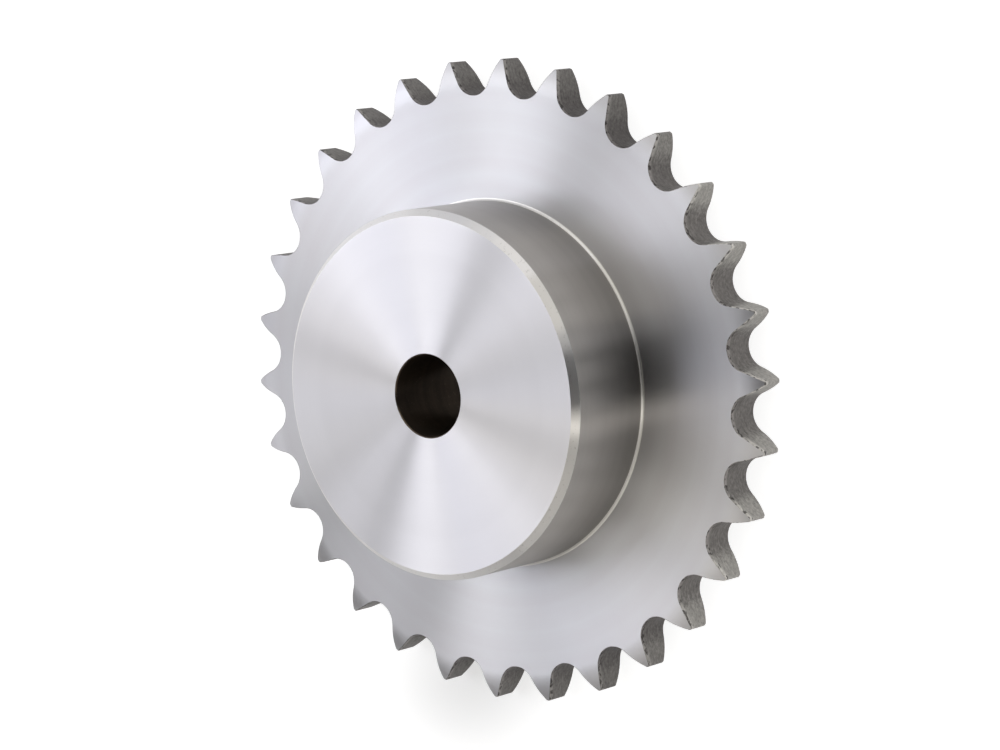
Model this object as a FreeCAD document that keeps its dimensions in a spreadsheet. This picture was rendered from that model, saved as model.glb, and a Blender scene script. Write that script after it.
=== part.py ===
import FreeCAD, Part
import math
import os
import Sketcher

# Chain sprocket for 5/8 x 3/8 inch roller chain, single strand, 30 teeth, hub on one side.
# It is turned from one piece of steel and its tooth gaps are milled, so it is one body.
# Frame: +Z runs along the bore towards the hub, and the back face of the disc lies on Z = 0.
# One tooth points along +X, and the middle of one tooth gap lies on +Y.

# Driving dimensions, in millimetres and degrees.
SIZES = {
    "chain_pitch": 15.875,
    "roller_diameter": 10.16,
    "tooth_count": 30,
    "tooth_width": 9.1,
    "tip_height": 3.56,         # from the pitch circle to the tooth's tip
    "tip_rounding": 0.4,
    "relief_depth": 1.6,        # how far each side of a tooth falls back at its tip
    "relief_radius": 16.0,
    "seat_play": 0.12,          # between the roller and the round seat it lies in
    "seating_angle": 128.0,
    "flank_radius": 39.0,
    "hub_diameter": 90.0,
    "overall_length": 35.0,
    "hub_chamfer": 1.6,
    "junction_fillet": 0.6,
    "bore_diameter": 20.0,
    "bore_chamfer": 0.3,
}

# Sizes that follow from the driving ones, as the sketches' dimensions state them.
PITCH_RADIUS = "sizes.chain_pitch / 2 / sin(180 / sizes.tooth_count)"
TIP_RADIUS = f"{PITCH_RADIUS} + sizes.tip_height"
SEAT_RADIUS = "sizes.roller_diameter / 2 + sizes.seat_play"

HORIZONTAL = -1                 # the sketch's own axes and origin, as constraints name them
VERTICAL = -2
ORIGIN = (-1, 1)
START = 1                       # the two ends and the centre of an arc or a line
END = 2
CENTRE = 3

document = FreeCAD.newDocument("chain_sprocket")
up = FreeCAD.Vector(0, 0, 1)


def make_sheet(values):
    """Put each driving dimension in its own named cell."""
    sheet = document.addObject("Spreadsheet::Sheet", "sizes")
    for row, (name, value) in enumerate(values.items(), start=1):
        sheet.set(f"A{row}", name)
        sheet.set(f"B{row}", str(value))
        sheet.setAlias(f"B{row}", name)
    document.recompute()


def point(x, y):
    return FreeCAD.Vector(x, y, 0)


def add_sketch(body, name, plane_role):
    """Start a sketch on one of the body's own origin planes."""
    sketch = body.newObject("Sketcher::SketchObject", name)
    plane = next(part for part in body.Origin.OriginFeatures if part.Role == plane_role)
    sketch.AttachmentSupport = (plane, "")
    sketch.MapMode = "FlatFace"
    return sketch


def add_line(sketch, first, second):
    return sketch.addGeometry(Part.LineSegment(point(*first), point(*second)), False)


def add_arc(sketch, centre, radius, from_degrees, to_degrees):
    """Add an arc that runs counterclockwise between two angles."""
    circle = Part.Circle(point(*centre), up, radius)
    arc = Part.ArcOfCircle(circle, math.radians(from_degrees), math.radians(to_degrees))
    return sketch.addGeometry(arc, False)


def bind(sketch, name, constraint, expression):
    """Add a named dimension and tie it to the sheet."""
    index = sketch.addConstraint(constraint)
    sketch.renameConstraint(index, name)
    sketch.setExpression(f"Constraints.{name}", expression)


def join(sketch, chain):
    """Close a loop of lines and arcs, given as (geometry, first end, last end)."""
    for current, following in zip(chain, chain[1:] + chain[:1]):
        sketch.addConstraint(
            Sketcher.Constraint("Coincident", current[0], current[2], following[0], following[1]))


def pitch_radius():
    """The radius at which the rollers' centres lie: the chain's pitch is its chord."""
    half_step = math.radians(180 / SIZES["tooth_count"])
    return SIZES["chain_pitch"] / 2 / math.sin(half_step)


def make_blank(body):
    """Turn the half section: bore, disc with relieved rim, and hub."""
    bore = SIZES["bore_diameter"] / 2
    tip = pitch_radius() + SIZES["tip_height"]
    hub = SIZES["hub_diameter"] / 2
    width = SIZES["tooth_width"]
    length = SIZES["overall_length"]
    depth = SIZES["relief_depth"]
    radius = SIZES["relief_radius"]
    relief_reach = math.sqrt(radius ** 2 - (radius - depth) ** 2)
    relief_start = tip - relief_reach
    relief_angle = math.degrees(math.asin(relief_reach / radius))

    sketch = add_sketch(body, "half_section", "XZ_Plane")
    bore_wall = add_line(sketch, (bore, length), (bore, 0))
    back_face = add_line(sketch, (bore, 0), (relief_start, 0))
    back_relief = add_arc(sketch, (relief_start, radius), radius, 270, 270 + relief_angle)
    rim = add_line(sketch, (tip, depth), (tip, width - depth))
    front_relief = add_arc(sketch, (relief_start, width - radius), radius, 90 - relief_angle, 90)
    front_face = add_line(sketch, (relief_start, width), (hub, width))
    hub_wall = add_line(sketch, (hub, width), (hub, length))
    hub_face = add_line(sketch, (hub, length), (bore, length))
    join(sketch, [
        (bore_wall, START, END),
        (back_face, START, END),
        (back_relief, START, END),
        (rim, START, END),
        (front_relief, START, END),
        (front_face, START, END),
        (hub_wall, START, END),
        (hub_face, START, END),
    ])
    for upright in (bore_wall, rim, hub_wall):
        sketch.addConstraint(Sketcher.Constraint("Vertical", upright))
    for level in (front_face, hub_face):
        sketch.addConstraint(Sketcher.Constraint("Horizontal", level))
    sketch.addConstraint(Sketcher.Constraint("PointOnObject", back_face, START, HORIZONTAL))
    sketch.addConstraint(Sketcher.Constraint("PointOnObject", back_face, END, HORIZONTAL))
    # each relief arc leaves its face smoothly: its centre lies straight over the face's end
    sketch.addConstraint(Sketcher.Constraint("Vertical", back_relief, CENTRE, back_relief, START))
    sketch.addConstraint(Sketcher.Constraint("Vertical", front_relief, CENTRE, front_relief, END))

    def distance_x(line, end, value):
        return Sketcher.Constraint("DistanceX", *ORIGIN, line, end, value)

    def distance_y(line, end, value):
        return Sketcher.Constraint("DistanceY", *ORIGIN, line, end, value)

    bind(sketch, "bore_radius", distance_x(bore_wall, END, bore), "sizes.bore_diameter / 2")
    bind(sketch, "tip_radius", distance_x(rim, START, tip), TIP_RADIUS)
    bind(sketch, "hub_radius", distance_x(hub_wall, START, hub), "sizes.hub_diameter / 2")
    bind(sketch, "disc_width", distance_y(front_face, START, width), "sizes.tooth_width")
    bind(sketch, "length", distance_y(hub_face, END, length), "sizes.overall_length")
    bind(sketch, "back_depth", distance_y(rim, START, depth), "sizes.relief_depth")
    bind(sketch, "front_depth",
         Sketcher.Constraint("DistanceY", rim, END, front_relief, END, depth),
         "sizes.relief_depth")
    for name, arc in (("back_radius", back_relief), ("front_radius", front_relief)):
        bind(sketch, name, Sketcher.Constraint("Radius", arc, radius), "sizes.relief_radius")

    blank = body.newObject("PartDesign::Revolution", "blank")
    blank.Profile = sketch
    blank.ReferenceAxis = (sketch, ["V_Axis"])
    blank.Angle = 360
    document.recompute()
    return blank


def rim_edges(feature, diameter, height):
    """Name the full circles of a turned shape that have this diameter and height."""
    names = []
    for number, edge in enumerate(feature.Shape.Edges, start=1):
        if not isinstance(edge.Curve, Part.Circle):
            continue
        same_size = math.isclose(edge.Curve.Radius, diameter / 2, abs_tol=1e-4)
        same_height = math.isclose(edge.Curve.Center.z, height, abs_tol=1e-4)
        if same_size and same_height:
            names.append(f"Edge{number}")
    return names


def dress(body, kind, name, base, edges, size_property, size_name):
    """Add one fillet or chamfer whose size is tied to the sheet."""
    feature = body.newObject(kind, name)
    feature.Base = (base, edges)
    setattr(feature, size_property, SIZES[size_name])
    feature.setExpression(size_property, f"sizes.{size_name}")
    document.recompute()
    return feature


def dress_edges(body, blank):
    """Round the corner between disc and hub, and bevel the hub's rim and both bore mouths."""
    hub = SIZES["hub_diameter"]
    bore = SIZES["bore_diameter"]
    width = SIZES["tooth_width"]
    length = SIZES["overall_length"]
    fillet = dress(body, "PartDesign::Fillet", "junction", blank,
                   rim_edges(blank, hub, width), "Radius", "junction_fillet")
    hub_bevel = dress(body, "PartDesign::Chamfer", "hub_bevel", fillet,
                      rim_edges(fillet, hub, length), "Size", "hub_chamfer")
    mouths = rim_edges(hub_bevel, bore, 0) + rim_edges(hub_bevel, bore, length)
    dress(body, "PartDesign::Chamfer", "bore_mouths", hub_bevel, mouths, "Size", "bore_chamfer")


def mill_gaps(body):
    """Cut one tooth gap on +Y and repeat it round the axis."""
    pitch = pitch_radius()
    tip = pitch + SIZES["tip_height"]
    seat = SIZES["roller_diameter"] / 2 + SIZES["seat_play"]
    flank = SIZES["flank_radius"]
    rounding = SIZES["tip_rounding"]
    half_seat = SIZES["seating_angle"] / 2

    # The flank's centre lies on the line through the seat's centre and the seat's end.
    flank_x = (seat + flank) * math.sin(math.radians(half_seat))
    flank_y = pitch - (seat + flank) * math.cos(math.radians(half_seat))
    # The rounding touches the flank and the tip circle from inside, so its centre is known
    # by its distance from the flank's centre and from the axis.
    span = math.hypot(flank_x, flank_y)
    inner_flank = flank - rounding
    inner_tip = tip - rounding
    along = (inner_tip ** 2 - inner_flank ** 2 + span ** 2) / (2 * span)
    across = math.sqrt(inner_tip ** 2 - along ** 2)
    round_x = (along * flank_x - across * flank_y) / span
    round_y = (along * flank_y + across * flank_x) / span
    leave_flank = math.degrees(math.atan2(round_y - flank_y, round_x - flank_x))
    reach_tip = math.degrees(math.atan2(round_y, round_x))
    tip_x = tip * round_x / inner_tip
    tip_y = tip * round_y / inner_tip
    top = tip + seat

    sketch = add_sketch(body, "gap_outline", "XY_Plane")
    seat_arc = add_arc(sketch, (0, pitch), seat, 270 - half_seat, 270 + half_seat)
    right_flank = add_arc(sketch, (flank_x, flank_y), flank, leave_flank, 90 + half_seat)
    right_round = add_arc(sketch, (round_x, round_y), rounding, reach_tip, leave_flank)
    right_side = add_line(sketch, (tip_x, tip_y), (tip_x, top))
    top_side = add_line(sketch, (tip_x, top), (-tip_x, top))
    left_side = add_line(sketch, (-tip_x, top), (-tip_x, tip_y))
    left_round = add_arc(sketch, (-round_x, round_y), rounding, 180 - leave_flank, 180 - reach_tip)
    left_flank = add_arc(sketch, (-flank_x, flank_y), flank, 90 - half_seat, 180 - leave_flank)
    tip_circle = sketch.addGeometry(Part.Circle(point(0, 0), up, tip), True)

    # Arcs follow each other smoothly, and the sides and the top close the loop outside the rim.
    for one, one_end, other, other_end in (
            (seat_arc, END, right_flank, END),
            (right_flank, START, right_round, END),
            (left_round, START, left_flank, END),
            (left_flank, START, seat_arc, START)):
        sketch.addConstraint(Sketcher.Constraint("Tangent", one, one_end, other, other_end))
    for one, one_end, other, other_end in (
            (right_round, START, right_side, START),
            (right_side, END, top_side, START),
            (top_side, END, left_side, START),
            (left_side, END, left_round, END)):
        sketch.addConstraint(Sketcher.Constraint("Coincident", one, one_end, other, other_end))
    for side in (right_side, left_side):
        sketch.addConstraint(Sketcher.Constraint("Vertical", side))
    sketch.addConstraint(Sketcher.Constraint("Horizontal", top_side))
    sketch.addConstraint(Sketcher.Constraint("Coincident", tip_circle, CENTRE, *ORIGIN))
    sketch.addConstraint(Sketcher.Constraint("PointOnObject", seat_arc, CENTRE, VERTICAL))
    sketch.addConstraint(
        Sketcher.Constraint("Symmetric", seat_arc, START, seat_arc, END, VERTICAL))
    sketch.addConstraint(Sketcher.Constraint("Equal", right_flank, left_flank))
    sketch.addConstraint(Sketcher.Constraint("Equal", right_round, left_round))
    sketch.addConstraint(Sketcher.Constraint("Tangent", right_round, START, tip_circle))
    sketch.addConstraint(Sketcher.Constraint("Tangent", left_round, END, tip_circle))

    bind(sketch, "pitch_radius",
         Sketcher.Constraint("DistanceY", *ORIGIN, seat_arc, CENTRE, pitch), PITCH_RADIUS)
    bind(sketch, "seat_radius", Sketcher.Constraint("Radius", seat_arc, seat), SEAT_RADIUS)
    bind(sketch, "seating_angle",
         Sketcher.Constraint("Angle", seat_arc, math.radians(2 * half_seat)),
         "sizes.seating_angle * 1 deg")
    bind(sketch, "flank_radius", Sketcher.Constraint("Radius", right_flank, flank),
         "sizes.flank_radius")
    bind(sketch, "tip_rounding", Sketcher.Constraint("Radius", right_round, rounding),
         "sizes.tip_rounding")
    bind(sketch, "tip_radius", Sketcher.Constraint("Radius", tip_circle, tip), TIP_RADIUS)
    bind(sketch, "top_height",
         Sketcher.Constraint("DistanceY", *ORIGIN, top_side, START, top),
         f"{TIP_RADIUS} + {SEAT_RADIUS}")

    first_gap = body.newObject("PartDesign::Pocket", "first_gap")
    first_gap.Profile = sketch
    first_gap.Type = "ThroughAll"
    first_gap.Midplane = True
    document.recompute()

    gaps = body.newObject("PartDesign::PolarPattern", "gaps")
    gaps.Originals = [first_gap]
    axis = next(part for part in body.Origin.OriginFeatures if part.Role == "Z_Axis")
    gaps.Axis = (axis, [""])
    gaps.Angle = 360
    gaps.Occurrences = SIZES["tooth_count"]
    gaps.setExpression("Occurrences", "sizes.tooth_count")
    body.Tip = gaps
    document.recompute()


def check(parts):
    """Stop if anything failed to build or a solid isn't sound."""
    for item in document.Objects:
        if "Invalid" in item.State or "Error" in item.State:
            raise RuntimeError(f"{item.Label} did not build: {item.State}")
        if item.isDerivedFrom("Sketcher::SketchObject") and item.solve() != 0:
            raise RuntimeError(f"{item.Label} can't meet its dimensions")
    for part in parts:
        if part.Shape.isNull() or not part.Shape.isValid():
            raise RuntimeError(f"{part.Label} isn't a valid solid")


make_sheet(SIZES)
sprocket = document.addObject("PartDesign::Body", "sprocket")
sprocket.Label = "sprocket"
dress_edges(sprocket, make_blank(sprocket))
mill_gaps(sprocket)
check([sprocket])

os.makedirs("parts", exist_ok=True)
for part in [sprocket]:
    part.Shape.exportStep(f"parts/{part.Label}.step")
    box = part.Shape.optimalBoundingBox(True, False)
    print(f"{part.Label}: {box.XLength:.2f} x {box.YLength:.2f} x {box.ZLength:.2f} mm, "
          f"{part.Shape.Volume / 1000:.1f} cm3, {len(part.Shape.Faces)} faces")
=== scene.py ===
import math

import bpy
import numpy as np
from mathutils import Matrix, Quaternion, Vector


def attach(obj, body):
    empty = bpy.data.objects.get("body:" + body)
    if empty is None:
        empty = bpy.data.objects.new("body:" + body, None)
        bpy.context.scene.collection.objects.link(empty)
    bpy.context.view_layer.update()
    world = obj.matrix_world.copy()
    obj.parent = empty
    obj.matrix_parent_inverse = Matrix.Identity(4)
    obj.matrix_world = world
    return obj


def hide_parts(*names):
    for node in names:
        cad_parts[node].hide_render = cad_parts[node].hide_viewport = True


# A chain sprocket turned from one piece of steel, lying on its back face on a white floor.
# Everything is in metres, in the CAD part's own frame: the bore runs along Z.

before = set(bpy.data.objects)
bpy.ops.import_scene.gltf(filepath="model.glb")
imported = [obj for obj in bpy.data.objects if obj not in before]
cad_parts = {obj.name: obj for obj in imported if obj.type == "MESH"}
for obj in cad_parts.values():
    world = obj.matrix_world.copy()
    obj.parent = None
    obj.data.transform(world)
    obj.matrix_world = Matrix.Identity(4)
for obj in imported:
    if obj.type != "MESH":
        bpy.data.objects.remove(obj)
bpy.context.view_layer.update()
millimetre = 0.001
print("frame loaded")


# The sprocket's shape, in millimetres and degrees. Its sizes are the CAD part's, apart from the
# small roundings of its turned and milled edges, which only the scene has.

sprocketShape = {
    "chainPitch": 15.875,
    "toothCount": 30,
    "seatRadius": 5.2,
    "seatingAngle": 128.0,
    "flankRadius": 39.0,
    "tipHeight": 3.56,          # from the pitch circle to the tooth's tip
    "tipRounding": 0.4,
    "toothWidth": 9.1,
    "reliefDepth": 1.6,         # how far each side of a tooth falls back at its tip
    "reliefRadius": 16.0,
    "hubRadius": 45.0,
    "hubHeight": 35.0,
    "hubBevel": 1.6,
    "junctionFillet": 0.6,
    "boreRadius": 10.0,
    "boreBevel": 0.3,
    "turnedEdge": 0.1,          # how round the turned edges are
    "milledEdge": 0.13,         # how round the edges of the tooth gaps are
    "milledEdgeUneven": 0.05,
    "unevenLength": 9,          # over how many points of the outline that roundness changes
    "rowMargin": 1.0,           # how far inside the gaps' bottoms the disc's first and last rows are
    "seed": 7,
}

# How many steps each stretch of the mesh has.
sprocketSteps = {
    "columns": 12,              # across one tooth, and so round the hub beside it
    "seat": 12,
    "flank": 8,
    "tip": 4,
    "edge": 3,
    "wall": 6,
    "corner": 4,
    "fillet": 8,
}

steelRegions = ["disc", "junction", "barrel", "bevel", "face", "gaps", "bore"]     # each has its own finish


def arcPoints(centre, radius, fromAngle, toAngle, steps, metalInside=True):
    angles = np.radians(np.linspace(fromAngle, toAngle, steps + 1))
    rays = np.column_stack([np.cos(angles), np.sin(angles)])
    return np.array(centre) + radius * rays, rays if metalInside else -rays


def halfGap(shape, steps):
    # from the middle of a gap's bottom up to the tooth's tip, with Y through the gap's middle
    halfTooth = math.pi / shape["toothCount"]
    pitch = shape["chainPitch"] / 2 / math.sin(halfTooth)
    tip = pitch + shape["tipHeight"]
    seat, flank, rounding = shape["seatRadius"], shape["flankRadius"], shape["tipRounding"]
    halfSeat = shape["seatingAngle"] / 2
    reach = seat + flank
    flankX = reach * math.sin(math.radians(halfSeat))
    flankY = pitch - reach * math.cos(math.radians(halfSeat))
    # the rounding touches the flank's circle and the tip circle from inside
    span = math.hypot(flankX, flankY)
    along = ((tip - rounding) ** 2 - (flank - rounding) ** 2 + span ** 2) / (2 * span)
    across = math.sqrt((tip - rounding) ** 2 - along ** 2)
    roundX = (along * flankX - across * flankY) / span
    roundY = (along * flankY + across * flankX) / span
    leaveFlank = math.degrees(math.atan2(roundY - flankY, roundX - flankX))
    reachTip = math.degrees(math.atan2(roundY, roundX))
    runs = [
        arcPoints((0, pitch), seat, 270, 270 + halfSeat, steps["seat"], metalInside=False),
        arcPoints((flankX, flankY), flank, 90 + halfSeat, leaveFlank, steps["flank"]),
        arcPoints((roundX, roundY), rounding, leaveFlank, reachTip, steps["tip"]),
    ]
    points = np.vstack([runs[0][0], runs[1][0][1:], runs[2][0][1:]])
    normals = np.vstack([runs[0][1], runs[1][1][1:], runs[2][1][1:]])
    # turned into the tooth's own frame, with X along the tooth
    right = np.array([math.sin(halfTooth), -math.cos(halfTooth)])
    outward = np.array([math.cos(halfTooth), math.sin(halfTooth)])
    turn = np.array([right, outward])
    return points @ turn, normals @ turn, tip


def toothOutline(shape, steps):
    # once round one tooth: up its left side, over the land at its tip and down its right side
    points, normals, tip = halfGap(shape, steps)
    landAngle = math.atan2(points[-1, 1], points[-1, 0])
    angles = np.linspace(landAngle, -landAngle, steps["columns"] + 1)[1:-1]
    land = np.column_stack([np.cos(angles), np.sin(angles)])
    mirror = np.array([1, -1])
    allPoints = np.vstack([points, tip * land, (points * mirror)[::-1][:-1]])
    allNormals = np.vstack([normals, land, (normals * mirror)[::-1][:-1]])
    return allPoints, allNormals, len(points), tip


def repeatRound(outline, outlineNormals, count):
    azimuths = -2 * math.pi * np.arange(count) / count
    turns = np.array([[[math.cos(a), math.sin(a)], [-math.sin(a), math.cos(a)]] for a in azimuths])
    return (outline @ turns).reshape(-1, 2), (outlineNormals @ turns).reshape(-1, 2)


def reliefHeight(radius, tip, shape):
    # how far a side has fallen back at this radius, and the sine of its slope
    reach = math.sqrt(shape["reliefRadius"] ** 2 - (shape["reliefRadius"] - shape["reliefDepth"]) ** 2)
    past = np.clip(radius - (tip - reach), 0, None)
    drop = shape["reliefRadius"] - np.sqrt(shape["reliefRadius"] ** 2 - past ** 2)
    return drop, past / shape["reliefRadius"]


def sideNormals(xy, slope, up):
    # of a tooth's side that falls back with this slope; up is 1 in front and -1 at the back
    radius = np.hypot(xy[:, 0], xy[:, 1])[:, None]
    return np.column_stack([xy / radius * slope[:, None], up * np.sqrt(1 - slope ** 2)])


def unevenness(count, seed, length):
    # smooth noise round a closed line, from -1 to 1
    draw = np.random.RandomState(seed).uniform(-1, 1, count)
    kernel = np.hanning(length)
    smooth = np.real(np.fft.ifft(np.fft.fft(draw) * np.fft.fft(kernel, count)))
    return smooth / np.abs(smooth).max()


def edgeLayers(places, sideways, rounding, up, tip, shape, steps):
    # one rounded edge of the gaps, from the teeth's sides over into the walls
    wall = np.column_stack([sideways, np.zeros(len(places))])
    layers = []
    for share in range(steps["edge"] + 1):
        angle = math.pi / 2 * share / steps["edge"]
        xy = places - sideways * (rounding * (1 - math.sin(angle)))[:, None]
        drop, slope = reliefHeight(np.hypot(xy[:, 0], xy[:, 1]), tip, shape)
        depth = drop + rounding * (1 - math.cos(angle))
        z = shape["toothWidth"] - depth if up > 0 else depth
        layers.append((xy, z, math.sin(angle) * wall + math.cos(angle) * sideNormals(xy, slope, up)))
    return layers


def gapLayers(places, sideways, rounding, tip, shape, steps):
    # the walls of the gaps, with the rounded edges in front and at the back
    front = edgeLayers(places, sideways, rounding, 1, tip, shape, steps)
    back = edgeLayers(places, sideways, rounding, -1, tip, shape, steps)[::-1]
    xy, frontZ, normal = front[-1]
    backZ = back[0][1]
    shares = np.linspace(0, 1, steps["wall"] + 1)[1:-1]
    return front + [(xy, frontZ * (1 - share) + backZ * share, normal) for share in shares] + back


def acrossTooth(start, end, up, tip, shape, steps):
    # points over a tooth's side, between two points of its outline
    radius = np.linspace(math.hypot(*start), math.hypot(*end), steps["columns"] + 1)[1:-1]
    startAngle, endAngle = math.atan2(start[1], start[0]), math.atan2(end[1], end[0])
    if endAngle > startAngle:
        endAngle -= 2 * math.pi
    angle = np.linspace(startAngle, endAngle, steps["columns"] + 1)[1:-1]
    xy = radius[:, None] * np.column_stack([np.cos(angle), np.sin(angle)])
    drop, slope = reliefHeight(radius, tip, shape)
    z = shape["toothWidth"] - drop if up > 0 else drop
    return xy, z, sideNormals(xy, slope, up)


def sprocketProfile(shape, root):
    # the turned half section, from the disc's front face round to its back face, as corners:
    # (radius, height, corner radius, region of the corner and of the run towards it)
    width, height = shape["toothWidth"], shape["hubHeight"]
    hub, bevel = shape["hubRadius"], shape["hubBevel"]
    bore, mouth = shape["boreRadius"], shape["boreBevel"]
    edge = shape["turnedEdge"]
    rim = root - shape["rowMargin"]
    middle = (root + hub) / 2
    return [
        (rim, width, 0, "disc"),
        (middle, width, 0, "disc"),
        (hub, width, shape["junctionFillet"], "junction"),
        (hub, height - bevel, edge, "barrel"),
        (hub - bevel, height, edge, "bevel"),
        ((hub + bore) / 2, height, 0, "face"),
        (bore + mouth, height, edge, "face"),
        (bore, height - mouth, edge, "bore"),
        (bore, height / 2, 0, "bore"),
        (bore, mouth, edge, "bore"),
        (bore + mouth, 0, edge, "bore"),
        (hub, 0, 0, "disc"),
        (middle, 0, 0, "disc"),
        (rim, 0, 0, "disc"),
    ]


def roundedProfile(corners, steps):
    # the profile with its corners rounded: (radius, height, the normal's two parts, region)
    rows = []
    places = [np.array(corner[:2], float) for corner in corners]
    for number, (_, _, rounding, region) in enumerate(corners):
        here = places[number]
        ahead = places[min(number + 1, len(places) - 1)] - here
        behind = here - places[max(number - 1, 0)]
        ahead = ahead / (np.linalg.norm(ahead) or 1)
        behind = behind / (np.linalg.norm(behind) or 1)
        if not rounding:
            run = ahead if ahead.any() else behind
            rows.append((*here, run[1], -run[0], region))
            continue
        turn = math.acos(float(np.clip(ahead @ behind, -1, 1)))
        setback = rounding * math.tan(turn / 2)
        leftTurn = behind[0] * ahead[1] - behind[1] * ahead[0] > 0
        entry = np.array([behind[1], -behind[0]])
        side = 1 if leftTurn else -1
        centre = here - setback * behind - side * rounding * entry
        start = math.atan2(entry[1], entry[0])
        count = steps["fillet"] if region == "junction" else steps["corner"]
        for share in np.linspace(0, 1, count + 1):
            angle = start + side * turn * share
            ray = np.array([math.cos(angle), math.sin(angle)])
            place = centre + side * rounding * ray
            rows.append((*place, *ray, region))
    return rows


def turnOutward(points, normals, faces):
    # gives each face the order of corners that makes it look the way its points' normals do
    corners = points[faces]
    facing = np.cross(corners[:, 2] - corners[:, 0], corners[:, 3] - corners[:, 1])
    inward = np.einsum("ij,ij->i", facing, normals[faces].sum(axis=1)) < 0
    faces[inward] = faces[inward][:, ::-1]


def buildSprocket(shape, steps):
    outline, outlineNormals, half, tip = toothOutline(shape, steps)
    teeth, columns, perTooth = shape["toothCount"], steps["columns"], len(outline)
    places, sideways = repeatRound(outline, outlineNormals, teeth)
    step = np.linalg.norm(np.roll(places, -1, axis=0) - places, axis=1)
    run = np.concatenate([[0], np.cumsum(step)[:-1]])
    uneven = unevenness(len(places), shape["seed"], shape["unevenLength"])
    rounding = shape["milledEdge"] + shape["milledEdgeUneven"] * uneven
    points, normals, gapPlaces, blocks = [], [], [], []

    def addPoints(xy, z, normal, gapPlace=None):
        # gives the new points' numbers back
        first = sum(len(block) for block in points)
        points.append(np.column_stack([xy, z]))
        normals.append(normal / np.linalg.norm(normal, axis=1)[:, None])
        gapPlaces.append(np.zeros((len(xy), 3)) if gapPlace is None else gapPlace)
        return first + np.arange(len(xy))

    def addGrid(rows, region, closed=False):
        # the faces between rows of point numbers, all of one length
        grid = np.array(rows)
        if closed:
            grid = np.column_stack([grid, grid[:, 0]])
        quads = np.stack([grid[:-1, :-1], grid[:-1, 1:], grid[1:, 1:], grid[1:, :-1]], axis=-1)
        blocks.append((quads.reshape(-1, 4), region))

    # the gaps, whose points also know how far they are along the outline and from both edges
    layers = gapLayers(places, sideways, rounding, tip, shape, steps)
    rings = []
    for xy, z, normal in layers:
        gapPlace = np.column_stack([run, layers[0][1] - z, z - layers[-1][1]])
        rings.append(addPoints(xy, z, normal, gapPlace))
    addGrid(rings, "gaps", closed=True)

    # the two sides of each tooth, and one closed row of points where they meet the disc
    meetDisc = {}
    for up, ring in ((1, rings[0]), (-1, rings[-1])):
        ends = np.vstack(points)[ring, :2]
        bottomRow = []
        for first in range(0, len(ring), perTooth):
            rows = []
            for level in range(half - 1):
                left, right = first + level, (first + perTooth - level) % len(ring)
                inner = addPoints(*acrossTooth(ends[left], ends[right], up, tip, shape, steps))
                rows.append([ring[left], *inner, ring[right]])
            land = first + half - 1
            rows.append(ring[land:land + columns + 1])
            addGrid(rows, "disc")
            bottomRow.append(rows[0][:-1])
        meetDisc[up] = np.concatenate(bottomRow)

    # the turned body, from the disc's front face round to its back face
    around = -2 * math.pi * np.arange(teeth * columns) / (teeth * columns) + math.pi / teeth
    rays = np.column_stack([np.cos(around), np.sin(around)])
    root = float(np.hypot(*outline[0]))
    last, lastRegion = meetDisc[1], "disc"
    for radius, z, outward, upward, region in roundedProfile(sprocketProfile(shape, root), steps):
        normal = np.column_stack([outward * rays, np.full(len(rays), upward)])
        row = addPoints(radius * rays, np.full(len(rays), z), normal)
        # the flat disc ends where the fillet at its junction with the hub starts
        addGrid([last, row], "disc" if lastRegion == "disc" else region, closed=True)
        last, lastRegion = row, region
    addGrid([last, meetDisc[-1]], "disc", closed=True)

    points, normals, gapPlaces = np.vstack(points), np.vstack(normals), np.vstack(gapPlaces)
    faces = np.vstack([quads for quads, _ in blocks])
    regions = np.concatenate([[region] * len(quads) for quads, region in blocks])
    turnOutward(points, normals, faces)
    return points * millimetre, normals, gapPlaces, faces, regions


def makeSprocket():
    points, normals, gapPlaces, faces, regions = buildSprocket(sprocketShape, sprocketSteps)
    mesh = bpy.data.meshes.new("turnedSprocket")
    mesh.from_pydata(points.tolist(), [], faces.tolist())
    mesh.update()
    mesh.polygons.foreach_set("material_index", [steelRegions.index(region) for region in regions])
    mesh.shade_smooth()
    mesh.normals_split_custom_set_from_vertices(normals.tolist())
    place = mesh.attributes.new("gapPlace", "FLOAT_VECTOR", "POINT")
    place.data.foreach_set("vector", gapPlaces.astype(np.float32).ravel())
    piece = bpy.data.objects.new("turnedSprocket", mesh)
    bpy.context.scene.collection.objects.link(piece)
    return piece


sprocket = makeSprocket()
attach(sprocket, "root")
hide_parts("sprocket")
print("sprocket made,", len(sprocket.data.polygons), "faces")


# Node helpers. Each takes plain values or the outputs of other nodes.

def addNode(tree, kind, settings=None, **inputs):
    # an input is given by its name, with _ for a space, or by its number as at0, at1 and so on
    node = tree.nodes.new("ShaderNode" + kind)
    for name, value in (settings or {}).items():
        setattr(node, name, value)
    for name, value in inputs.items():
        socket = node.inputs[int(name[2:])] if name.startswith("at") else node.inputs[name.replace("_", " ")]
        feed(tree, socket, value)
    return node


def feed(tree, socket, value):
    if isinstance(value, bpy.types.NodeSocket):
        tree.links.new(value, socket)
    elif isinstance(value, tuple) and len(value) == 3 and socket.type == "RGBA":
        socket.default_value = (*value, 1)
    else:
        socket.default_value = value


def calculate(tree, operation, *values):
    node = addNode(tree, "Math", {"operation": operation})
    for socket, value in zip(node.inputs, values):
        feed(tree, socket, value)
    return node.outputs["Value"]


def calculateVector(tree, operation, *vectors, output="Vector"):
    node = addNode(tree, "VectorMath", {"operation": operation})
    for socket, vector in zip(node.inputs, vectors):
        feed(tree, socket, vector)
    return node.outputs[output]


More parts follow.
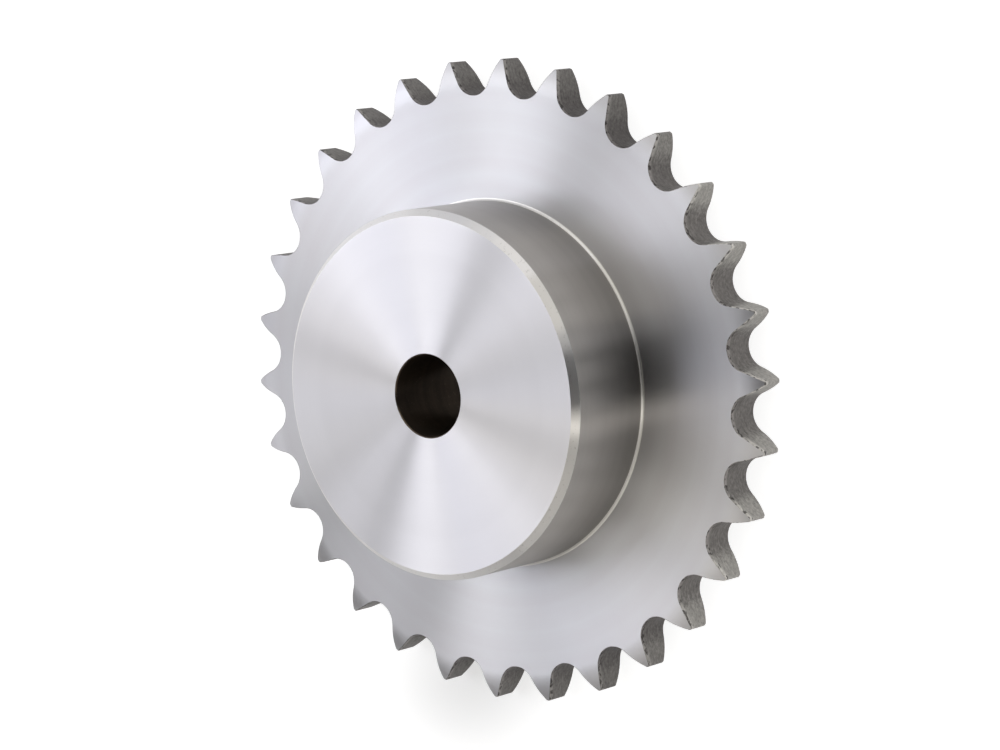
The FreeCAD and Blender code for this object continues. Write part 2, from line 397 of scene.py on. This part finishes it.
def fade(tree, value, start, end):
    # 0 on the side of start, 1 on the side of end, smooth in between
    node = addNode(tree, "MapRange", {"interpolation_type": "SMOOTHSTEP"}, Value=value)
    node.inputs["From Min"].default_value = min(start, end)
    node.inputs["From Max"].default_value = max(start, end)
    if start > end:
        node.inputs["To Min"].default_value, node.inputs["To Max"].default_value = 1.0, 0.0
    return node.outputs["Result"]


def spread(tree, value, given, wanted):
    # the given range stretched over the wanted one, and held at its ends
    node = addNode(tree, "MapRange", Value=value)
    node.inputs["From Min"].default_value, node.inputs["From Max"].default_value = given
    node.inputs["To Min"].default_value, node.inputs["To Max"].default_value = wanted
    return node.outputs["Result"]


def blendValues(tree, share, first, second):
    difference = calculate(tree, "SUBTRACT", second, first)
    return calculate(tree, "MULTIPLY_ADD", difference, share, first)


def blendColours(tree, share, first, second):
    # the sockets go by number here, because the node has several of each name
    node = addNode(tree, "Mix", {"data_type": "RGBA"})
    feed(tree, node.inputs[0], share)
    feed(tree, node.inputs[6], first)
    feed(tree, node.inputs[7], second)
    return node.outputs[2]


def scaleColour(tree, colour, amount):
    return addNode(tree, "VectorMath", {"operation": "SCALE"}, at0=colour, Scale=amount).outputs["Vector"]


def ownPlace(tree):
    return addNode(tree, "TexCoord").outputs["Object"]


def heightAbove(tree):
    # of a place on the sprocket above its back face, in mm
    height = addNode(tree, "SeparateXYZ", at0=ownPlace(tree)).outputs["Z"]
    return calculate(tree, "DIVIDE", height, millimetre)


def boreDistance(tree):
    # of a place on the sprocket from the bore's axis, in mm
    parts = addNode(tree, "SeparateXYZ", at0=ownPlace(tree)).outputs
    flat = addNode(tree, "CombineXYZ", X=parts["X"], Y=parts["Y"]).outputs["Vector"]
    return calculate(tree, "DIVIDE", calculateVector(tree, "LENGTH", flat, output="Value"), millimetre)


def startGroup(name, inputs, outputs):
    # inputs are names with their values at first, and outputs are names
    group = bpy.data.node_groups.new(name, "ShaderNodeTree")
    for socketName, default in inputs.items():
        socket = group.interface.new_socket(socketName, in_out="INPUT", socket_type="NodeSocketFloat")
        socket.default_value = default
    for socketName in outputs:
        group.interface.new_socket(socketName, in_out="OUTPUT", socket_type="NodeSocketFloat")
    return group, group.nodes.new("NodeGroupInput").outputs, group.nodes.new("NodeGroupOutput").inputs


def useGroup(tree, group, **inputs):
    node = tree.nodes.new("ShaderNodeGroup")
    node.node_tree = group
    for name, value in inputs.items():
        feed(tree, node.inputs[name], value)
    return node.outputs


# What all turned finishes share.
turnedSurface = {
    "ringsPerBand": 11,
    "speckEdge": (0.60, 0.74),      # the noise where a speck's rim starts and ends
    "cloudShare": 0.5,              # of the tone; the rest comes from the broad turned bands
    "toneRange": (0.3, 0.7),        # the noise of the darkest and of the lightest tone
    "ringShare": 0.15,              # of the colour's tone
    "paintedFootShadeEnds": (30.0, sprocketShape["toothWidth"]),    # heights between which the hub darkens with painted shade, in mm
    "tangentTurn": 0.25,            # in turns, from the direction round the bore
}

# Sizes in mm. Smooth and rough are the roughness of the light and of the dark places, and the foot shade
# is painted shade: how much darker the foot of a region is, towards the disc.
turnedFinishes = {
    "disc": {
        "light": (0.645, 0.645, 0.65), "dark": (0.605, 0.585, 0.595), "smooth": 0.280, "rough": 0.295,
        "anisotropic": 1.0, "spacing": 0.5, "ringDepth": 0.0003, "cloudSize": 25.0, "paintedFootShade": 0.0,
        "specks": 0.02, "speckSize": 0.8, "speckColour": (0.45, 0.44, 0.43),
    },
    # the junction's colour is far paler than the rest of the steel: painted highlight for the fillet's bright
    # line
    "junction": {
        "light": (0.98, 0.96, 0.92), "dark": (0.92, 0.90, 0.86), "smooth": 0.30, "rough": 0.34,
        "anisotropic": 0.9, "spacing": 0.3, "ringDepth": 0.0005, "cloudSize": 25.0, "paintedFootShade": 0.0,
        "specks": 0.1, "speckSize": 0.8, "speckColour": (0.5, 0.48, 0.46),
    },
    "barrel": {
        "light": (0.58, 0.56, 0.54), "dark": (0.52, 0.50, 0.485), "smooth": 0.278, "rough": 0.290,
        "anisotropic": 1.0, "spacing": 0.35, "ringDepth": 0.0003, "cloudSize": 20.0, "paintedFootShade": 0.32,
        "specks": 0.1, "speckSize": 0.8, "speckColour": (0.35, 0.33, 0.32),
    },
    "bevel": {
        "light": (0.90, 0.88, 0.86), "dark": (0.84, 0.82, 0.80), "smooth": 0.280, "rough": 0.300,
        "anisotropic": 1.0, "spacing": 0.3, "ringDepth": 0.0004, "cloudSize": 12.0, "paintedFootShade": 0.0,
        "specks": 0.5, "speckSize": 0.8, "speckColour": (0.5, 0.48, 0.45),
    },
    "face": {
        "light": (0.75, 0.735, 0.743), "dark": (0.72, 0.705, 0.713), "smooth": 0.280, "rough": 0.290,
        "anisotropic": 1.0, "spacing": 0.5, "ringDepth": 0.0003, "cloudSize": 25.0, "paintedFootShade": 0.0,
        "specks": 0.02, "speckSize": 0.7, "speckColour": (0.45, 0.44, 0.43),
    },
    "bore": {
        "light": (0.16, 0.12, 0.09), "dark": (0.06, 0.05, 0.04), "smooth": 0.34, "rough": 0.42,
        "anisotropic": 0.8, "spacing": 0.3, "ringDepth": 0.0020, "cloudSize": 8.0, "paintedFootShade": 0.0,
        "specks": 0.3, "speckSize": 0.8, "speckColour": (0.3, 0.25, 0.2),
    },
}


def makeTurningMarks():
    # the fine rings that the tool leaves, and the broad bands they gather in
    group, given, result = startGroup("turningMarks", {"Spacing": 0.4}, ["Rings", "Bands"])
    along = calculate(group, "SUBTRACT", boreDistance(group), heightAbove(group))
    turns = calculate(group, "DIVIDE", along, given["Spacing"])
    rings = addNode(group, "TexNoise", {"noise_dimensions": "1D"}, W=turns, Scale=1.0,
                    Detail=3.0, Roughness=0.6)
    bands = addNode(group, "TexNoise", {"noise_dimensions": "1D"}, W=turns,
                    Scale=1 / turnedSurface["ringsPerBand"], Detail=2.0)
    feed(group, result["Rings"], rings.outputs["Fac"])
    feed(group, result["Bands"], bands.outputs["Fac"])
    return group


def makeSteelClouds():
    # slow, faint changes of tone over the whole part, with a few small specks
    sizes = {"CloudSize": 25.0, "SpeckSize": 0.8}
    group, given, result = startGroup("steelClouds", sizes, ["Clouds", "Specks"])
    place = ownPlace(group)
    clouds = addNode(group, "TexNoise", Vector=place, Detail=3.0, Roughness=0.55,
                     Scale=calculate(group, "DIVIDE", 1 / millimetre, given["CloudSize"]))
    specks = addNode(group, "TexNoise", Vector=place, Detail=2.0, Roughness=0.7,
                     Scale=calculate(group, "DIVIDE", 1 / millimetre, given["SpeckSize"]))
    feed(group, result["Clouds"], clouds.outputs["Fac"])
    feed(group, result["Specks"], fade(group, specks.outputs["Fac"], *turnedSurface["speckEdge"]))
    return group


turningMarks = makeTurningMarks()
steelClouds = makeSteelClouds()


def startMaterial(name, metallic=1):
    material = bpy.data.materials.new(name)
    material.use_nodes = True
    tree = material.node_tree
    shader = tree.nodes["Principled BSDF"]
    shader.inputs["Metallic"].default_value = metallic
    return material, tree, shader


def makeTurnedSteel(name, finish):
    material, tree, shader = startMaterial(name + "Steel")
    marks = useGroup(tree, turningMarks, Spacing=finish["spacing"])
    clouds = useGroup(tree, steelClouds, CloudSize=finish["cloudSize"], SpeckSize=finish["speckSize"])
    tone = blendValues(tree, turnedSurface["cloudShare"], marks["Bands"], clouds["Clouds"])
    tone = spread(tree, tone, turnedSurface["toneRange"], (0.0, 1.0))
    fineTone = blendValues(tree, turnedSurface["ringShare"], tone, marks["Rings"])
    colour = blendColours(tree, fineTone, finish["dark"], finish["light"])
    speckShare = calculate(tree, "MULTIPLY", clouds["Specks"], finish["specks"])
    colour = blendColours(tree, speckShare, colour, finish["speckColour"])
    # painted shade: the hub darkens towards its foot, where the disc blocks part of the light it mirrors
    if finish["paintedFootShade"]:
        paintedFootShadeMask = fade(tree, heightAbove(tree), *turnedSurface["paintedFootShadeEnds"])
        colour = scaleColour(tree, colour, calculate(tree, "MULTIPLY_ADD", paintedFootShadeMask, -finish["paintedFootShade"], 1.0))
    feed(tree, shader.inputs["Base Color"], colour)
    roughness = spread(tree, tone, (0.0, 1.0), (finish["rough"], finish["smooth"]))
    feed(tree, shader.inputs["Roughness"], roughness)
    bump = addNode(tree, "Bump", Height=marks["Rings"], Distance=finish["ringDepth"] * millimetre)
    feed(tree, shader.inputs["Normal"], bump.outputs["Normal"])
    tangent = addNode(tree, "Tangent", {"direction_type": "RADIAL", "axis": "Z"})
    feed(tree, shader.inputs["Tangent"], tangent.outputs["Tangent"])
    shader.inputs["Anisotropic"].default_value = finish["anisotropic"]
    shader.inputs["Anisotropic Rotation"].default_value = turnedSurface["tangentTurn"]
    return material


gapFinish = {
    "bottom": (0.15, 0.14, 0.136),
    "flank": (0.21, 0.20, 0.19),
    "paintedLitBottom": (0.25, 0.236, 0.226),
    "paintedLitFlank": (0.46, 0.445, 0.42),
    "pits": (0.04, 0.036, 0.034),
    "bottomEnd": 71.4,          # mm from the bore's axis, where the dark bottom starts to fade
    "flankStart": 76.5,
    "paintedLightSide": -100.0,         # degrees round the bore, the middle of the side whose cuts are paler with painted light
    "paintedLightReach": (62.0, 35.0),  # how far from it they start and end to fade
    "grain": 0.9,               # mm
    "grainMiddle": 0.5,         # what its noise is on average
    "unevenFade": 4.0,          # how far the grain moves the fades, mm
    "streakLength": 4.0,        # mm along the outline
    "streakWidth": 0.4,
    "streakShare": 0.3,
    "markRange": (0.35, 0.65),  # the noise of the darkest and of the lightest mark
    "mottle": (0.70, 1.30),     # the brightness of the darkest and of the lightest mark
    "bandDepth": 1.1,           # mm below the front edge
    "bandFade": 0.4,
    "bandUneven": 0.5,          # times the unevenness of the other fades
    "bandGain": 0.55,
    "pitSize": 1.3,
    "pitEdge": (0.50, 0.60),    # the noise where a pit's rim starts and ends
    "pitShare": 0.8,
    "pitDepth": 1.5,            # times the relief
    "backLine": (0.4, 0.1),     # mm from the back edge, where its thin dark line starts and is full
    "backShare": 0.3,
    "smooth": 0.46,
    "rough": 0.60,
    "relief": 0.04,             # mm
    "markDepth": 0.4,           # times the relief
}


def facingSide(tree, azimuth, fromBore):
    # the cosine of the angle round the bore between a place on the sprocket and this azimuth
    angle = math.radians(azimuth)
    direction = (math.cos(angle), math.sin(angle), 0)
    outward = calculateVector(tree, "DOT_PRODUCT", ownPlace(tree), direction, output="Value")
    return calculate(tree, "DIVIDE", outward, calculate(tree, "MULTIPLY", fromBore, millimetre))


def makeMilledSteel(name, finish):
    material, tree, shader = startMaterial(name + "Steel")
    place = addNode(tree, "Attribute", {"attribute_name": "gapPlace"}).outputs["Vector"]
    parts = addNode(tree, "SeparateXYZ", at0=place).outputs
    run, below, above = parts["X"], parts["Y"], parts["Z"]
    fromBore = boreDistance(tree)

    # the cutter's fine streaks along the outline, and the grain of the steel
    stretched = addNode(tree, "CombineXYZ", X=calculate(tree, "DIVIDE", run, finish["streakLength"]),
                        Y=calculate(tree, "DIVIDE", below, finish["streakWidth"])).outputs["Vector"]
    streaks = addNode(tree, "TexNoise", Vector=stretched, Scale=1.0, Detail=4.0, Roughness=0.6).outputs["Fac"]
    grain = addNode(tree, "TexNoise", Vector=place, Scale=1 / finish["grain"],
                    Detail=4.0, Roughness=0.65).outputs["Fac"]
    marks = blendValues(tree, finish["streakShare"], grain, streaks)
    uneven = calculate(tree, "SUBTRACT", grain, finish["grainMiddle"])
    uneven = calculate(tree, "MULTIPLY", uneven, finish["unevenFade"])

    # a dark bottom and lighter flanks, all paler on one side of the sprocket, where light is painted onto the
    # cuts
    flank = fade(tree, calculate(tree, "ADD", fromBore, uneven), finish["bottomEnd"], finish["flankStart"])
    reach = [math.cos(math.radians(angle)) for angle in finish["paintedLightReach"]]
    paintedLightShare = fade(tree, facingSide(tree, finish["paintedLightSide"], fromBore), *reach)
    bottomColour = blendColours(tree, paintedLightShare, finish["bottom"], finish["paintedLitBottom"])
    flankColour = blendColours(tree, paintedLightShare, finish["flank"], finish["paintedLitFlank"])
    colour = blendColours(tree, flank, bottomColour, flankColour)

    # a lighter, broken and pitted band under each front edge
    depth = calculate(tree, "MULTIPLY_ADD", uneven, finish["bandUneven"], below)
    bandEnd = finish["bandDepth"] + finish["bandFade"]
    band = fade(tree, depth, bandEnd, finish["bandDepth"] - finish["bandFade"])
    shade = spread(tree, marks, finish["markRange"], finish["mottle"])
    shade = calculate(tree, "MULTIPLY", shade, calculate(tree, "MULTIPLY_ADD", band, finish["bandGain"], 1.0))
    colour = scaleColour(tree, colour, shade)
    pitNoise = addNode(tree, "TexNoise", Vector=place, Scale=1 / finish["pitSize"], Detail=1.5).outputs["Fac"]
    pits = calculate(tree, "MULTIPLY", fade(tree, pitNoise, *finish["pitEdge"]), band)
    colour = blendColours(tree, calculate(tree, "MULTIPLY", pits, finish["pitShare"]), colour, finish["pits"])
    backLine = calculate(tree, "MULTIPLY", fade(tree, above, *finish["backLine"]), finish["backShare"])
    colour = blendColours(tree, backLine, colour, finish["pits"])

    feed(tree, shader.inputs["Base Color"], colour)
    roughness = spread(tree, streaks, (0.0, 1.0), (finish["rough"], finish["smooth"]))
    feed(tree, shader.inputs["Roughness"], roughness)
    height = calculate(tree, "MULTIPLY", marks, finish["markDepth"])
    height = calculate(tree, "MULTIPLY_ADD", pits, -finish["pitDepth"], height)
    bump = addNode(tree, "Bump", Height=height, Distance=finish["relief"] * millimetre)
    feed(tree, shader.inputs["Normal"], bump.outputs["Normal"])
    return material


for region in steelRegions:
    if region == "gaps":
        sprocket.data.materials.append(makeMilledSteel(region, gapFinish))
    else:
        sprocket.data.materials.append(makeTurnedSteel(region, turnedFinishes[region]))
print("steel finishes made")


# The floor's sizes are in metres. It shows its white by itself, so the light on the sprocket stays plain.
studioFloor = {
    "innerRadius": 0.1,
    "flatRadius": 2.5,
    "rimRadius": 4.0,
    "rimHeight": 0.6,           # the floor curves up at its rim, so that it fills low views too
    "rimSteps": 12,
    "around": 96,
    "below": 0.0001,            # how far the floor is below the sprocket
    "colour": (0.5, 0.5, 0.5),
    "roughness": 0.9,
    "ownLight": 0.85,           # what the floor shows by itself, on top of the light it gets
    "mirrored": 0.60,           # how much of that light the steel mirrors
    "coveredRadius": 0.069,     # the floor under the sprocket shows no light of its own
    "openRadius": 0.0095,       # but in the bore's mouth it does, as the photo's bore gets light from behind
    "openLight": 0.5,
    "fadeWidth": 0.002,
    "shadePlace": (-0.076, 0.032),
    "shadeSize": (0.028, 0.040),
    "shade": 0.35,              # how much darker the floor is where the photo has its faint shadow
}


def makeFloorMesh(settings):
    flat, rim = settings["flatRadius"], settings["rimRadius"]
    rings = [(settings["innerRadius"], 0.0), (flat, 0.0)]
    for share in np.linspace(0, 1, settings["rimSteps"] + 1)[1:]:
        rings.append((flat + (rim - flat) * share, settings["rimHeight"] * share ** 2))
    count, below = settings["around"], settings["below"]
    angles = np.linspace(0, 2 * math.pi, count, endpoint=False)
    points = [(0, 0, -below)]
    for radius, height in rings:
        points += [(radius * math.cos(a), radius * math.sin(a), height - below) for a in angles]
    around = [(number, (number + 1) % count) for number in range(count)]
    faces = [(0, 1 + here, 1 + ahead) for here, ahead in around]
    for ring in range(len(rings) - 1):
        inner = 1 + ring * count
        outer = inner + count
        faces += [(inner + here, outer + here, outer + ahead, inner + ahead) for here, ahead in around]
    mesh = bpy.data.meshes.new("studioFloor")
    mesh.from_pydata(points, [], faces)
    mesh.shade_smooth()
    return mesh


def makeFloorFinish(settings):
    material, tree, shader = startMaterial("whiteFloor", metallic=0)
    shader.inputs["Specular IOR Level"].default_value = 0
    shader.inputs["Roughness"].default_value = settings["roughness"]
    shader.inputs["Base Color"].default_value = (*settings["colour"], 1)

    # only the camera and what mirrors the floor see its own light
    path = addNode(tree, "LightPath").outputs
    mirrored = calculate(tree, "MULTIPLY", path["Is Glossy Ray"], settings["mirrored"])
    seen = calculate(tree, "MAXIMUM", path["Is Camera Ray"], mirrored)
    seen = calculate(tree, "MAXIMUM", seen, path["Is Transmission Ray"])

    place = ownPlace(tree)
    distance = calculateVector(tree, "LENGTH", place, output="Value")
    covered, opened, width = settings["coveredRadius"], settings["openRadius"], settings["fadeWidth"]
    outside = fade(tree, distance, covered - width, covered)
    inBore = fade(tree, distance, opened, opened - width)
    shown = calculate(tree, "MULTIPLY_ADD", inBore, settings["openLight"], outside)

    offset = calculateVector(tree, "SUBTRACT", place, (*settings["shadePlace"], 0))
    offset = calculateVector(tree, "DIVIDE", offset, (*settings["shadeSize"], 1))
    away = calculateVector(tree, "LENGTH", offset, output="Value")
    shade = calculate(tree, "MULTIPLY", fade(tree, away, 1.0, 0.0), settings["shade"])
    light = calculate(tree, "MULTIPLY", calculate(tree, "SUBTRACT", 1.0, shade), settings["ownLight"])
    light = calculate(tree, "MULTIPLY", calculate(tree, "MULTIPLY", seen, shown), light)
    glow = addNode(tree, "Emission", Strength=light)
    both = addNode(tree, "AddShader", at0=shader.outputs["BSDF"], at1=glow.outputs["Emission"])
    feed(tree, tree.nodes["Material Output"].inputs["Surface"], both.outputs["Shader"])
    return material


def makeFloor(settings):
    piece = bpy.data.objects.new("studioFloor", makeFloorMesh(settings))
    piece.data.materials.append(makeFloorFinish(settings))
    bpy.context.scene.collection.objects.link(piece)
    return piece


floor = makeFloor(studioFloor)
print("floor made")


photoCamera = {
    "place": (26.75, -569.3, 699.5),        # mm
    "lookAt": (2.12, -8.88, 17.5),
    "roll": -100.80,
    "lens": 131.2,
    "sensorWidth": 36.0,
    "clip": (0.05, 20.0),                   # m
}


def makeCamera(settings):
    camera = bpy.data.objects.new("photoCamera", bpy.data.cameras.new("photoCamera"))
    bpy.context.scene.collection.objects.link(camera)
    place = Vector(settings["place"]) * millimetre
    back = (place - Vector(settings["lookAt"]) * millimetre).normalized()
    level = back.to_track_quat("Z", "Y")
    camera.rotation_mode = "QUATERNION"
    camera.location = place
    camera.rotation_quaternion = level @ Quaternion((0, 0, 1), math.radians(settings["roll"]))
    camera.data.lens = settings["lens"]
    camera.data.sensor_width = settings["sensorWidth"]
    camera.data.clip_start, camera.data.clip_end = settings["clip"]
    bpy.context.scene.camera = camera


makeCamera(photoCamera)
print("camera made")


# The studio is a set of rings of light panels round the bore's axis. A panel has a place, a strength and
# a tint. Its place is the azimuth, in degrees from the camera's side, of the surfaces that mirror it into
# the camera, and it reaches to the next panel's place. The first ring is mirrored by the flat faces, the
# second by the sides of the teeth, the third where the hub and the disc mirror each other, and the last
# by the edges and upright walls.

coolLight = (0.98, 1.0, 1.10)
plainLight = (1.0, 1.0, 1.0)
warmLight = (1.03, 1.0, 0.93)

studioLight = {
    "edges": [1.5, 1.5, 1.0, 0.4],      # degrees over which one panel of each ring turns into the next
    "ringStarts": [(7.0, 13.0), (19.0, 27.0), (44.0, 56.0)],    # tilt of the mirroring surface, in degrees
    "rings": [
        [
            (-161, 0.2, warmLight), (-112, 2.3, plainLight), (-101, 0.0, warmLight), (-70, 1.9, plainLight),
            (-55, 0.6, warmLight), (-19, 1.5, coolLight), (0, 0.0, coolLight), (22, 2.2, coolLight),
            (47, 0.0, plainLight), (62, 3.15, coolLight), (76, 2.1, coolLight), (122, 1.65, coolLight),
            (147, 0.3, coolLight), (167, 1.65, plainLight),
        ],
        [
            (-164, 0.0, plainLight), (-110, 0.2, warmLight), (-84, 0.75, warmLight), (-46, 1.35, warmLight),
            (-36, 0.75, warmLight), (-13, 0.35, plainLight), (2, 0.65, plainLight), (24, 0.9, plainLight),
            (60, 1.7, plainLight), (93, 2.2, coolLight), (118, 1.7, coolLight), (132, 1.0, coolLight),
        ],
        [
            (-166, 0.1, plainLight), (-84, 0.1, warmLight), (-66, 0.35, warmLight), (-32, 0.3, warmLight),
            (-22, 0.75, warmLight), (-16, 0.0, warmLight), (-1, 0.03, coolLight), (5, 0.3, plainLight),
            (12, 0.7, warmLight), (24, 0.7, warmLight), (50, 0.6, plainLight), (62, 0.5, coolLight),
            (85, 0.75, coolLight), (150, 0.35, coolLight),
        ],
        [
            (-150, 0.1, warmLight), (-56, 0.45, warmLight), (-20, 1.6, warmLight), (-12.5, 0.0, coolLight),
            (7, 0.6, plainLight), (32, 1.5, coolLight), (57, 1.1, coolLight), (80, 0.6, coolLight),
        ],
    ],
}


def makePanelRing(tree, azimuth, panels, edge, brightest):
    # one ring as a colour ramp, from its first panel's azimuth once round
    start = panels[0][0]
    turn = calculate(tree, "WRAP", calculate(tree, "SUBTRACT", azimuth, start), 360.0, 0.0)
    ramp = addNode(tree, "ValToRGB", Fac=calculate(tree, "DIVIDE", turn, 360.0))
    stops = ramp.color_ramp.elements
    ends = [panel[0] for panel in panels[1:]] + [start + 360]
    for number, ((begin, strength, tint), end) in enumerate(zip(panels, ends)):
        colour = [strength * part / brightest for part in tint]
        for side, place in enumerate((begin + edge / 2, end - edge / 2)):
            position = (place - start) / 360
            stop = stops[side] if number == 0 else stops.new(position)
            stop.position = position
            stop.color = (*colour, 1)
    return ramp.outputs["Color"]


def makeStudio(settings, camera):
    world = bpy.data.worlds.new("studio")
    bpy.context.scene.world = world
    world.use_nodes = True
    tree = world.node_tree
    towardsCamera = (Vector(camera["place"]) - Vector(camera["lookAt"])).normalized()
    cameraSide = math.degrees(math.atan2(towardsCamera.y, towardsCamera.x))
    # the direction a surface faces when it mirrors this part of the world into the camera
    place = addNode(tree, "TexCoord").outputs["Generated"]
    facing = calculateVector(tree, "ADD", place, tuple(towardsCamera))
    facing = calculateVector(tree, "NORMALIZE", facing)
    parts = addNode(tree, "SeparateXYZ", at0=facing).outputs
    azimuth = calculate(tree, "DEGREES", calculate(tree, "ARCTAN2", parts["Y"], parts["X"]))
    azimuth = calculate(tree, "SUBTRACT", azimuth, cameraSide)
    tilt = calculate(tree, "DEGREES", calculate(tree, "ARCCOSINE", parts["Z"]))
    brightest = max(strength * max(tint) for panels in settings["rings"] for _, strength, tint in panels)
    rings = []
    for panels, edge in zip(settings["rings"], settings["edges"]):
        rings.append(makePanelRing(tree, azimuth, panels, edge, brightest))
    light = rings[0]
    for ring, tilts in zip(rings[1:], settings["ringStarts"]):
        light = blendColours(tree, fade(tree, tilt, *tilts), light, ring)
    background = tree.nodes["Background"]
    feed(tree, background.inputs["Color"], light)
    background.inputs["Strength"].default_value = brightest


makeStudio(studioLight, photoCamera)
bpy.context.scene.view_settings.view_transform = "Standard"
print("studio made")
